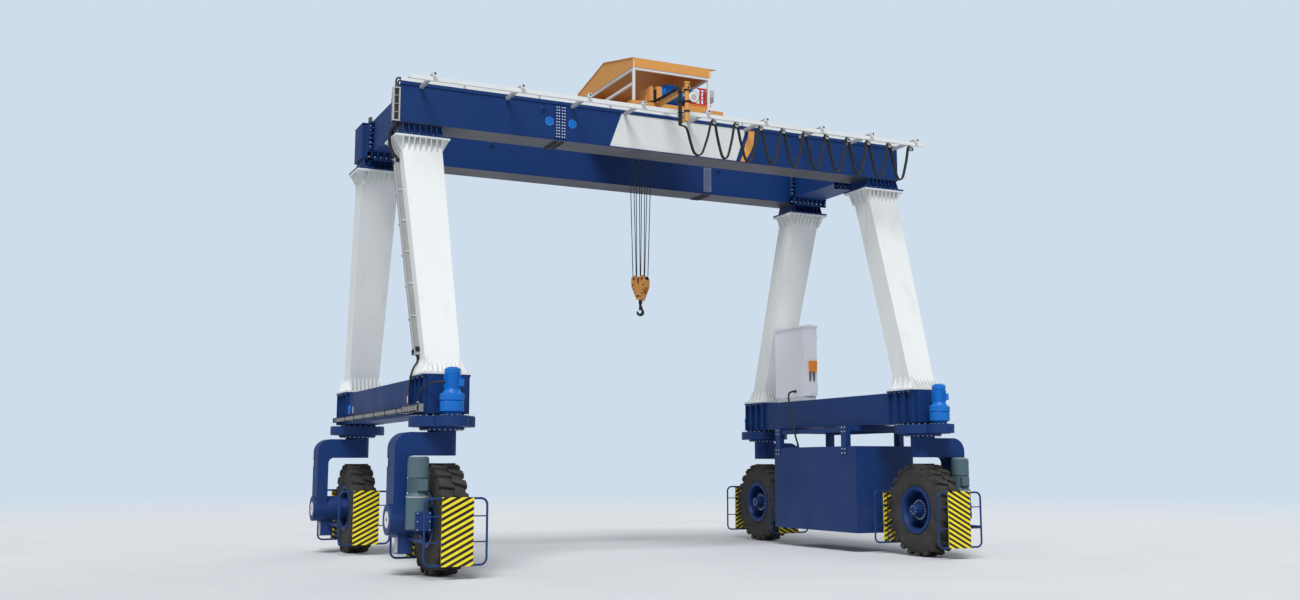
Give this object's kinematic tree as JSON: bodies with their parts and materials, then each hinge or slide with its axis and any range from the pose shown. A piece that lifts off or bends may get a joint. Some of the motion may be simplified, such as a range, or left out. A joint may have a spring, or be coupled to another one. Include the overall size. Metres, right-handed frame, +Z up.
{
  "type": "rubber tyred gantry crane",
  "caption": "Gantry crane on rubber tyres: box girders on splayed legs and ground beams, steered wheels, and a roofed hoist trolley with a hook block.",
  "frame": {"origin": "ground level, midway between the four wheels", "axes": "+X along the girders to the side with the power pack, +Y along the crane's travel, away from the festoon side, +Z up"},
  "size_m": [12.22, 8.554, 10.6504],
  "materials": {
    "blue_paint": "gloss navy blue enamel over primer",
    "bright_blue_paint": "gloss bright blue motor enamel",
    "ochre_paint": "gloss ochre yellow enamel",
    "white_paint": "white enamel",
    "grey_paint": "light grey cabinet enamel",
    "motor_grey": "grey green motor enamel",
    "red_paint": "red enamel",
    "orange_paint": "orange enamel",
    "warning_paint": "yellow enamel with black slanted bands",
    "rail_steel": "rolled steel, worn bright on top",
    "forged_steel": "forged and blackened steel",
    "wire_rope": "greased steel wire rope",
    "tyre_rubber": "matt black rubber, dusty",
    "cable_rubber": "matt black cable sheath"
  },
  "bodies": {
    "gantry": {"girder_front": "blue_paint", "girder_rear": "blue_paint", "cross_beams": "blue_paint", "trolley_rails": "rail_steel", "ground_beams": "blue_paint", "slew_housings": "blue_paint", "steering_motors": "bright_blue_paint", "power_pack": "blue_paint", "pack_hanger": "blue_paint", "control_cabinet": "grey_paint", "alarm_box": "orange_paint", "festoon_brackets": "white_paint", "festoon_rail": "white_paint", "sign_panel": "white_paint", "leg_front_left": "white_paint", "leg_front_right": "white_paint", "leg_rear_left": "white_paint", "leg_rear_right": "white_paint", "cable_trays": "white_paint", "festoon_cable": "cable_rubber", "cables": "cable_rubber"},
    "trolley": {"trolley_frame": "ochre_paint", "trolley_wheels": "forged_steel", "canopy_frame": "white_paint", "canopy_roof": "ochre_paint", "hoist_drum": "forged_steel", "hoist_gearbox": "ochre_paint", "hoist_motor": "bright_blue_paint", "hoist_brake": "red_paint", "electric_box": "grey_paint", "tow_arm": "ochre_paint", "hoist_ropes": "wire_rope"},
    "hook_block": {"hook_block": "ochre_paint", "block_sheaves": "forged_steel"},
    "hook": {"hook": "forged_steel"},
    "bogie_front_left": {"wheel_arm_front_left": "blue_paint", "guard_frames_front_left": "blue_paint", "guard_boards_front_left": "warning_paint", "drive_motor_front_left": "motor_grey"},
    "wheel_front_left": {"rim_front_left": "blue_paint", "tyre_front_left": "tyre_rubber"},
    "bogie_front_right": {"wheel_arm_front_right": "blue_paint", "guard_frames_front_right": "blue_paint", "guard_boards_front_right": "warning_paint", "drive_motor_front_right": "motor_grey"},
    "wheel_front_right": {"rim_front_right": "blue_paint", "tyre_front_right": "tyre_rubber"},
    "bogie_rear_left": {"wheel_arm_rear_left": "blue_paint", "guard_frames_rear_left": "blue_paint", "guard_boards_rear_left": "warning_paint"},
    "wheel_rear_left": {"rim_rear_left": "blue_paint", "tyre_rear_left": "tyre_rubber"},
    "bogie_rear_right": {"wheel_arm_rear_right": "blue_paint", "guard_frames_rear_right": "blue_paint", "guard_boards_rear_right": "warning_paint"},
    "wheel_rear_right": {"rim_rear_right": "blue_paint", "tyre_rear_right": "tyre_rubber"}
  },
  "joints": [
    {"name": "trolley_travel", "type": "slide", "parent": "gantry", "child": "trolley", "axis": [1, 0, 0], "range_m": [-4.3, 4], "deforming": ["festoon_cable"]},
    {"name": "hoist", "type": "slide", "parent": "trolley", "child": "hook_block", "axis": [0, 0, 1], "range_m": [-4.8, 2], "deforming": ["hoist_ropes"]},
    {"name": "hook_swivel", "type": "hinge", "parent": "hook_block", "child": "hook", "pos_m": [0.16, 0, 5.3], "axis": [0, 0, 1], "continuous": true},
    {"name": "steer_front_left", "type": "hinge", "parent": "gantry", "child": "bogie_front_left", "pos_m": [-5.18, -3.195, 2.5], "axis": [0, 0, 1], "range_deg": [-5, 90]},
    {"name": "roll_front_left", "type": "hinge", "parent": "bogie_front_left", "child": "wheel_front_left", "pos_m": [-5.18, -3.195, 0.95007], "axis": [1, 0, 0], "continuous": true},
    {"name": "steer_front_right", "type": "hinge", "parent": "gantry", "child": "bogie_front_right", "pos_m": [5.18, -3.195, 2.5], "axis": [0, 0, 1], "range_deg": [-90, 5]},
    {"name": "roll_front_right", "type": "hinge", "parent": "bogie_front_right", "child": "wheel_front_right", "pos_m": [5.18, -3.195, 0.95007], "axis": [1, 0, 0], "continuous": true},
    {"name": "steer_rear_left", "type": "hinge", "parent": "gantry", "child": "bogie_rear_left", "pos_m": [-5.18, 3.195, 2.5], "axis": [0, 0, 1], "range_deg": [-90, 5]},
    {"name": "roll_rear_left", "type": "hinge", "parent": "bogie_rear_left", "child": "wheel_rear_left", "pos_m": [-5.18, 3.195, 0.95007], "axis": [1, 0, 0], "continuous": true},
    {"name": "steer_rear_right", "type": "hinge", "parent": "gantry", "child": "bogie_rear_right", "pos_m": [5.18, 3.195, 2.5], "axis": [0, 0, 1], "range_deg": [-5, 90]},
    {"name": "roll_rear_right", "type": "hinge", "parent": "bogie_rear_right", "child": "wheel_rear_right", "pos_m": [5.18, 3.195, 0.95007], "axis": [1, 0, 0], "continuous": true}
  ]
}
